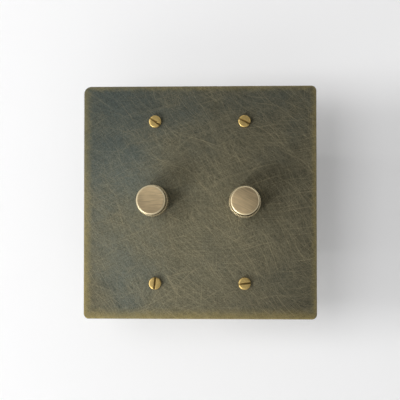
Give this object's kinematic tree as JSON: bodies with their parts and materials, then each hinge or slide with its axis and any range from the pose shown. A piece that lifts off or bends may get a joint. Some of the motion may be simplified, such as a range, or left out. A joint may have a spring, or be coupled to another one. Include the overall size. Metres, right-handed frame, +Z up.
{
  "type": "double rotary dimmer switch",
  "caption": "Square aged brass wall plate with brushed, knurled push-and-turn dimmer knobs, slotted box screws, and closed dimmer modules with wire clamps behind.",
  "frame": {"origin": "middle of the plate on the wall plane, which is the plate's rear rim", "axes": "+X right seen from the room, +Y into the wall, +Z up"},
  "size_m": [0.12, 0.0505, 0.12],
  "materials": {
    "aged_brass": "darkened, waxed and scratched",
    "polished_brass": "polished",
    "brushed_brass": "brushed, knurled skirt",
    "turned_brass": "as turned",
    "tinned_brass": "bright tinned",
    "spring_steel": "bright",
    "sink_aluminium": "plain mill finish",
    "case_moulding": "fine moulded grain",
    "rotor_moulding": "smooth",
    "switch_moulding": "smooth",
    "board_laminate": "satin laminate",
    "ferrite": "fired, matt",
    "copper_wire": "enamelled copper",
    "capacitor_case": "glossy"
  },
  "bodies": {
    "housing": {"face_plate": "aged_brass", "plate_screws": "polished_brass", "earth_tab": "tinned_brass", "mounting_bush_left": "turned_brass", "mounting_bush_right": "turned_brass", "bush_nut_left": "turned_brass", "bush_nut_right": "turned_brass", "dimmer_case_left": "case_moulding", "dimmer_case_right": "case_moulding", "rear_cover_left": "case_moulding", "rear_cover_right": "case_moulding", "circuit_board_left": "board_laminate", "circuit_board_right": "board_laminate", "switch_body_left": "switch_moulding", "switch_body_right": "switch_moulding", "switch_base_left": "switch_moulding", "switch_base_right": "switch_moulding", "switch_contacts_left": "tinned_brass", "switch_contacts_right": "tinned_brass", "return_spring_left": "spring_steel", "return_spring_right": "spring_steel", "heat_sink_left": "sink_aluminium", "heat_sink_right": "sink_aluminium", "power_transistor_left": "switch_moulding", "power_transistor_right": "switch_moulding", "choke_core_left": "ferrite", "choke_core_right": "ferrite", "choke_winding_left": "copper_wire", "choke_winding_right": "copper_wire", "capacitor_left": "capacitor_case", "capacitor_right": "capacitor_case", "fuse_left": "switch_moulding", "fuse_right": "switch_moulding", "terminal_cages_left": "tinned_brass", "terminal_cages_right": "tinned_brass"},
    "rotor_group_left": {"rotor_left": "rotor_moulding", "wiper_left": "spring_steel"},
    "knob_group_left": {"knob_left": "brushed_brass", "knob_leaf_left": "spring_steel", "spindle_left": "turned_brass", "spindle_clip_left": "spring_steel"},
    "plunger_group_left": {"switch_plunger_left": "rotor_moulding", "contact_bridge_left": "tinned_brass"},
    "rotor_group_right": {"rotor_right": "rotor_moulding", "wiper_right": "spring_steel"},
    "knob_group_right": {"knob_right": "brushed_brass", "knob_leaf_right": "spring_steel", "spindle_right": "turned_brass", "spindle_clip_right": "spring_steel"},
    "plunger_group_right": {"switch_plunger_right": "rotor_moulding", "contact_bridge_right": "tinned_brass"}
  },
  "joints": [
    {"name": "turn_left", "type": "hinge", "parent": "housing", "child": "rotor_group_left", "pos_m": [-0.02375, 0, 0.0005], "axis": [0, 1, 0], "range_deg": [-135, 135]},
    {"name": "push_left", "type": "slide", "parent": "rotor_group_left", "child": "knob_group_left", "axis": [0, 1, 0], "range_m": [0, 0.0015], "stiffness_N_per_m": 1000, "springref_m": -0.002},
    {"name": "switch_travel_left", "type": "slide", "parent": "housing", "child": "plunger_group_left", "axis": [0, 1, 0], "range_m": [0, 0.0015], "deforming": ["return_spring_left"]},
    {"name": "turn_right", "type": "hinge", "parent": "housing", "child": "rotor_group_right", "pos_m": [0.02375, 0, 0.0005], "axis": [0, 1, 0], "range_deg": [-135, 135]},
    {"name": "push_right", "type": "slide", "parent": "rotor_group_right", "child": "knob_group_right", "axis": [0, 1, 0], "range_m": [0, 0.0015], "stiffness_N_per_m": 1000, "springref_m": -0.002},
    {"name": "switch_travel_right", "type": "slide", "parent": "housing", "child": "plunger_group_right", "axis": [0, 1, 0], "range_m": [0, 0.0015], "deforming": ["return_spring_right"]}
  ],
  "couplings": [
    {"joint": "switch_travel_left", "follows": "push_left", "ratio": 1},
    {"joint": "switch_travel_right", "follows": "push_right", "ratio": 1}
  ]
}
